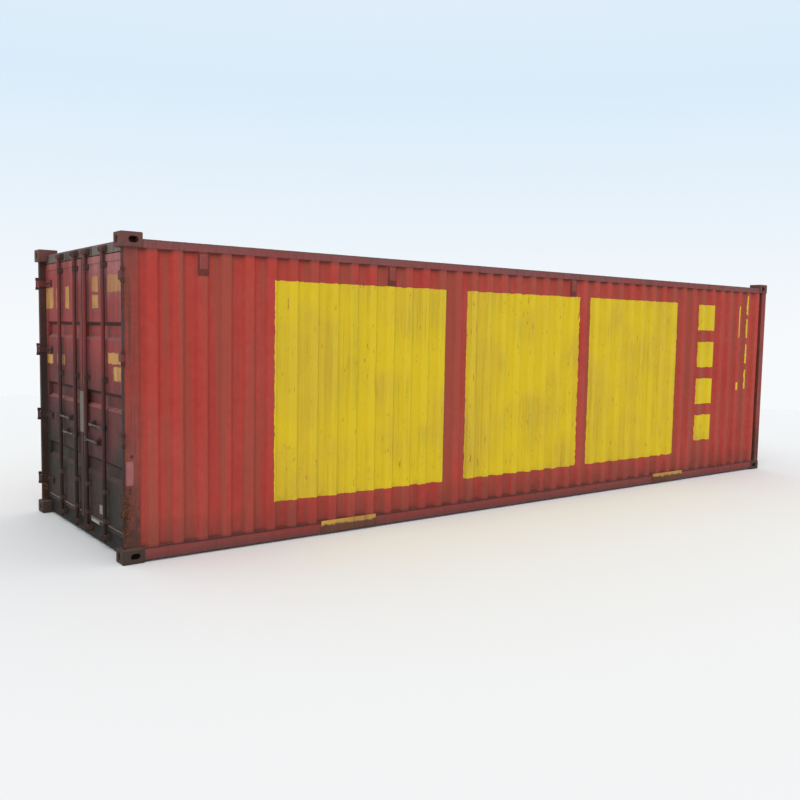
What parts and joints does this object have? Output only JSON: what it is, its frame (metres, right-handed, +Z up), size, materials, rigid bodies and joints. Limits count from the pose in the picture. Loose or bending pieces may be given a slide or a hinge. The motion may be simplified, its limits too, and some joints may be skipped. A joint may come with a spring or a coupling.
{
  "type": "shipping container",
  "caption": "Corrugated steel shipping container with hinged end doors, turning locking bars, corner castings, lifting pads and a plywood floor.",
  "frame": {"origin": "middle of the rectangle between the outer faces of the bottom corner castings, at the level that they stand on", "axes": "+X along the length, away from the doors; -Y is the right side for someone outside who faces the doors; +Z up"},
  "size_m": [9.125, 2.438, 2.591],
  "materials": {
    "frame_paint": "weathered satin paint with rust",
    "casting_steel": "painted casting, scuffed and rusty",
    "wall_paint": "faded red paint",
    "underside_coating": "dark underside coating",
    "floor_plywood": "worn plywood",
    "vent_plastic": "faded moulded cover",
    "pad_paint": "yellow paint over rust",
    "bare_steel": "bare steel",
    "door_paint": "grimy red paint",
    "gasket_rubber": "aged black rubber",
    "bar_steel": "painted tube, worn to the steel",
    "cover_paint": "light grey paint"
  },
  "bodies": {
    "frame": {"bottom_corner_castings": "casting_steel", "top_corner_castings": "casting_steel", "bottom_side_rails": "frame_paint", "top_side_rails": "frame_paint", "front_top_rail": "frame_paint", "front_bottom_rail": "frame_paint", "door_header": "frame_paint", "door_sill": "frame_paint", "right_rear_post": "frame_paint", "left_rear_post": "frame_paint", "front_corner_posts": "frame_paint", "right_side_wall": "wall_paint", "left_side_wall": "wall_paint", "front_wall": "wall_paint", "roof_panel": "wall_paint", "roof_end_plates": "wall_paint", "cross_members": "underside_coating", "floor_boards": "floor_plywood", "vent_covers": "vent_plastic", "lifting_pads": "pad_paint", "hinge_pins": "bare_steel", "cam_keepers": "frame_paint"},
    "right_door": {"right_door_hinges": "door_paint", "right_door_stiles": "door_paint", "right_door_rails": "door_paint", "right_door_panel": "door_paint", "right_door_gasket": "gasket_rubber", "right_bar_guides": "bar_steel", "right_handle_catches": "bar_steel", "lock_cover": "cover_paint"},
    "left_door": {"left_door_hinges": "door_paint", "left_door_stiles": "door_paint", "left_door_rails": "door_paint", "left_door_panel": "door_paint", "left_door_gasket": "gasket_rubber", "left_bar_guides": "bar_steel", "left_handle_catches": "bar_steel"},
    "right_inner_lock": {"right_inner_bar": "bar_steel", "right_inner_handle": "bar_steel"},
    "right_outer_lock": {"right_outer_bar": "bar_steel", "right_outer_handle": "bar_steel"},
    "left_inner_lock": {"left_inner_bar": "bar_steel", "left_inner_handle": "bar_steel"},
    "left_outer_lock": {"left_outer_bar": "bar_steel", "left_outer_handle": "bar_steel"}
  },
  "joints": [
    {"name": "right_door_swing", "type": "hinge", "parent": "frame", "child": "right_door", "pos_m": [-4.5465, -1.203, 1.3], "axis": [0, 0, 1], "range_deg": [0, 270]},
    {"name": "left_door_swing", "type": "hinge", "parent": "frame", "child": "left_door", "pos_m": [-4.5465, 1.203, 1.3], "axis": [0, 0, -1], "range_deg": [0, 270]},
    {"name": "right_inner_bar_turn", "type": "hinge", "parent": "right_door", "child": "right_inner_lock", "pos_m": [-4.5025, -0.15, 0.95], "axis": [0, 0, 1], "range_deg": [-100, 0]},
    {"name": "right_outer_bar_turn", "type": "hinge", "parent": "right_door", "child": "right_outer_lock", "pos_m": [-4.5025, -0.615, 0.95], "axis": [0, 0, -1], "range_deg": [-100, 0]},
    {"name": "left_inner_bar_turn", "type": "hinge", "parent": "left_door", "child": "left_inner_lock", "pos_m": [-4.5025, 0.15, 0.95], "axis": [0, 0, -1], "range_deg": [-100, 0]},
    {"name": "left_outer_bar_turn", "type": "hinge", "parent": "left_door", "child": "left_outer_lock", "pos_m": [-4.5025, 0.615, 0.95], "axis": [0, 0, 1], "range_deg": [-100, 0]}
  ]
}
